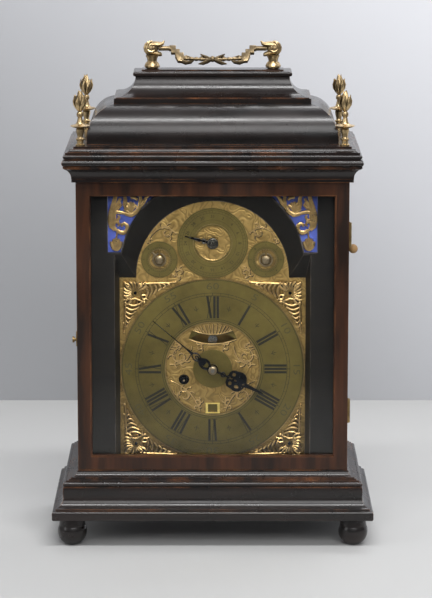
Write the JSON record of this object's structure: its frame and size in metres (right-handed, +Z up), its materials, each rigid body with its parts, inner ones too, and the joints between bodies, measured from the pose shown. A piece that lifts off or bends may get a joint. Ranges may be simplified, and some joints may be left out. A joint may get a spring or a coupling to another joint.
{
  "type": "table clock",
  "caption": "Spring-driven table clock in an ebonised case with an inverted-bell top, arched brass dial, hinged doors, winding squares and a verge movement.",
  "frame": {"origin": "on the ground at the middle of the clock's box", "axes": "+Z up, the dial faces -Y, +X to the right as one looks at the dial"},
  "size_m": [0.3046, 0.1722, 0.4751],
  "materials": {
    "ebonised": "black ebonised fruitwood, waxed, brown where worn",
    "door_wood": "black polish worn through to dark red-brown wood",
    "plain_wood": "unpolished oak",
    "clear_glass": "old clear glass",
    "gilt": "cast and chased brass, gilded, slightly rubbed",
    "case_brass": "brass, dulled",
    "dial_brass": "engraved and matted brass",
    "silvered": "engraved brass, silvering mostly worn",
    "movement_brass": "polished brass",
    "bell_metal": "cast bell metal, turned",
    "blued_steel": "pierced steel, blued nearly black",
    "bright_steel": "polished steel",
    "silk": "blue silk, lightly faded",
    "boxwood": "turned boxwood bead on a waxed cord"
  },
  "bodies": {
    "case": {"ball_feet": "ebonised", "base_moulding": "ebonised", "base_floor": "plain_wood", "case_side_left": "ebonised", "case_side_right": "ebonised", "side_windows": "clear_glass", "top_board": "plain_wood", "cornice": "ebonised", "bell_tier_lower": "ebonised", "bell_tier_upper": "ebonised", "top_cap": "ebonised", "finials": "gilt", "handle_posts": "gilt", "hinge_leaves_and_pins": "case_brass", "dial_mask": "ebonised", "mask_silk": "silk", "mask_frets": "gilt", "dial_plate": "dial_brass", "chapter_ring": "silvered", "subsidiary_rings": "dial_brass", "corner_spandrels": "gilt", "seat_board": "plain_wood", "front_plate": "movement_brass", "back_plate": "movement_brass", "plate_pillars": "movement_brass", "cocks_and_clicks": "movement_brass", "strike_bell": "bell_metal"},
    "front_door": {"front_door_frame": "door_wood", "front_door_glass": "clear_glass", "front_door_fittings": "case_brass"},
    "back_door": {"back_door_frame": "ebonised", "back_door_glass": "clear_glass", "back_door_fittings": "case_brass"},
    "handle": {"bail_handle": "gilt"},
    "minute": {"centre_arbor": "bright_steel", "minute_hand": "blued_steel"},
    "motion_wheel": {"minute_wheel": "movement_brass"},
    "hour": {"hour_wheel": "movement_brass", "hour_hand": "blued_steel"},
    "alarm": {"alarm_disc": "dial_brass"},
    "date": {"date_ring": "dial_brass"},
    "top_pointer": {"top_hand": "blued_steel"},
    "left_regulator": {"left_pointer": "movement_brass"},
    "right_regulator": {"right_pointer": "movement_brass"},
    "going_drum": {"going_barrel": "movement_brass"},
    "going_square": {"going_winder": "bright_steel"},
    "strike_drum": {"strike_barrel": "movement_brass"},
    "strike_square": {"strike_winder": "bright_steel"},
    "third": {"third_wheel": "movement_brass"},
    "contrate": {"contrate_wheel": "movement_brass"},
    "crown": {"crown_wheel": "movement_brass"},
    "verge": {"verge_and_mock_bob": "bright_steel", "pendulum": "movement_brass"},
    "pins": {"pin_wheel": "movement_brass"},
    "locking": {"locking_wheel": "movement_brass"},
    "warning": {"warning_wheel": "movement_brass"},
    "fan": {"fly": "movement_brass"},
    "striker": {"hammer": "bright_steel"},
    "repeat_lever": {"repeat_arm": "bright_steel"},
    "pull": {"repeat_pull": "boxwood"}
  },
  "joints": [
    {"name": "front_door_hinge", "type": "hinge", "parent": "case", "child": "front_door", "pos_m": [0.1286, -0.0497, 0.14], "axis": [0, 0, 1], "range_deg": [0, 110]},
    {"name": "back_door_hinge", "type": "hinge", "parent": "case", "child": "back_door", "pos_m": [0.116, 0.07975, 0.14], "axis": [0, 0, -1], "range_deg": [0, 100]},
    {"name": "handle_swing", "type": "hinge", "parent": "case", "child": "handle", "pos_m": [0, 0.00815, 0.466], "axis": [-1, 0, 0], "range_deg": [0, 260]},
    {"name": "minute_turn", "type": "hinge", "parent": "case", "child": "minute", "pos_m": [0, -0.00185, 0.164], "axis": [0, 1, 0], "continuous": true},
    {"name": "motion_wheel_turn", "type": "hinge", "parent": "case", "child": "motion_wheel", "pos_m": [0, -0.02485, 0.1424], "axis": [0, 1, 0], "continuous": true},
    {"name": "hour_turn", "type": "hinge", "parent": "case", "child": "hour", "pos_m": [0, -0.02785, 0.164], "axis": [0, 1, 0], "continuous": true},
    {"name": "alarm_set", "type": "hinge", "parent": "hour", "child": "alarm", "pos_m": [0, -0.03485, 0.164], "axis": [0, 1, 0], "continuous": true},
    {"name": "date_turn", "type": "hinge", "parent": "case", "child": "date", "pos_m": [0, -0.03085, 0.164], "axis": [0, 1, 0], "continuous": true},
    {"name": "top_pointer_turn", "type": "hinge", "parent": "case", "child": "top_pointer", "pos_m": [0, -0.03585, 0.2857], "axis": [0, 1, 0], "continuous": true},
    {"name": "left_regulator_turn", "type": "hinge", "parent": "case", "child": "left_regulator", "pos_m": [-0.0505, -0.03585, 0.27], "axis": [0, 1, 0], "continuous": true},
    {"name": "right_regulator_turn", "type": "hinge", "parent": "case", "child": "right_regulator", "pos_m": [0.0505, -0.03585, 0.27], "axis": [0, 1, 0], "continuous": true},
    {"name": "going_drum_turn", "type": "hinge", "parent": "case", "child": "going_drum", "pos_m": [0.0275, -0.00185, 0.1531], "axis": [0, 1, 0], "continuous": true},
    {"name": "going_winding", "type": "hinge", "parent": "case", "child": "going_square", "pos_m": [0.0275, -0.00185, 0.1531], "axis": [0, 1, 0], "continuous": true},
    {"name": "strike_drum_turn", "type": "hinge", "parent": "case", "child": "strike_drum", "pos_m": [-0.0275, -0.00185, 0.1531], "axis": [0, 1, 0], "continuous": true},
    {"name": "strike_winding", "type": "hinge", "parent": "case", "child": "strike_square", "pos_m": [-0.0275, -0.00185, 0.1531], "axis": [0, 1, 0], "continuous": true},
    {"name": "third_turn", "type": "hinge", "parent": "case", "child": "third", "pos_m": [0.01379, -0.00185, 0.18536], "axis": [0, 1, 0], "continuous": true},
    {"name": "contrate_turn", "type": "hinge", "parent": "case", "child": "contrate", "pos_m": [0, -0.00185, 0.205], "axis": [0, 1, 0], "continuous": true},
    {"name": "crown_turn", "type": "hinge", "parent": "case", "child": "crown", "pos_m": [0, 0.00415, 0.224], "axis": [0, 0, 1], "continuous": true},
    {"name": "verge_swing", "type": "hinge", "parent": "case", "child": "verge", "pos_m": [0, -0.00185, 0.243], "axis": [0, 1, 0], "range_deg": [-20, 20]},
    {"name": "pin_wheel_turn", "type": "hinge", "parent": "case", "child": "pins", "pos_m": [-0.04139, -0.00185, 0.17922], "axis": [0, 1, 0], "continuous": true},
    {"name": "locking_turn", "type": "hinge", "parent": "case", "child": "locking", "pos_m": [-0.03029, -0.00185, 0.19844], "axis": [0, 1, 0], "continuous": true},
    {"name": "warning_turn", "type": "hinge", "parent": "case", "child": "warning", "pos_m": [-0.03334, -0.00185, 0.21578], "axis": [0, 1, 0], "continuous": true},
    {"name": "fly_turn", "type": "hinge", "parent": "case", "child": "fan", "pos_m": [-0.02743, -0.00185, 0.22847], "axis": [0, 1, 0], "continuous": true},
    {"name": "hammer_lift", "type": "hinge", "parent": "case", "child": "striker", "pos_m": [-0.054, -0.00185, 0.205], "axis": [0, -1, 0], "range_deg": [0, 12], "stiffness_Nm_per_rad": 0.02, "springref_deg": -11.46},
    {"name": "repeat_lever_tilt", "type": "hinge", "parent": "case", "child": "repeat_lever", "pos_m": [0.046, -0.02385, 0.238], "axis": [0, 1, 0], "range_deg": [0, 11.3]},
    {"name": "repeat_draw", "type": "slide", "parent": "case", "child": "pull", "axis": [1, 0, 0], "range_m": [0, 0.008], "stiffness_N_per_m": 20, "springref_m": -0.003}
  ],
  "couplings": [
    {"joint": "motion_wheel_turn", "follows": "minute_turn", "ratio": -0.33333},
    {"joint": "hour_turn", "follows": "minute_turn", "ratio": 0.083333},
    {"joint": "going_drum_turn", "follows": "minute_turn", "ratio": -0.125},
    {"joint": "third_turn", "follows": "minute_turn", "ratio": -7.2},
    {"joint": "contrate_turn", "follows": "minute_turn", "ratio": 50.4},
    {"joint": "crown_turn", "follows": "minute_turn", "ratio": -302.4},
    {"joint": "strike_drum_turn", "follows": "pin_wheel_turn", "ratio": -0.125},
    {"joint": "locking_turn", "follows": "pin_wheel_turn", "ratio": -8.25},
    {"joint": "warning_turn", "follows": "pin_wheel_turn", "ratio": 57.75},
    {"joint": "fly_turn", "follows": "pin_wheel_turn", "ratio": -346.5},
    {"joint": "repeat_lever_tilt", "follows": "repeat_draw", "rad_per_m": 24.39}
  ]
}
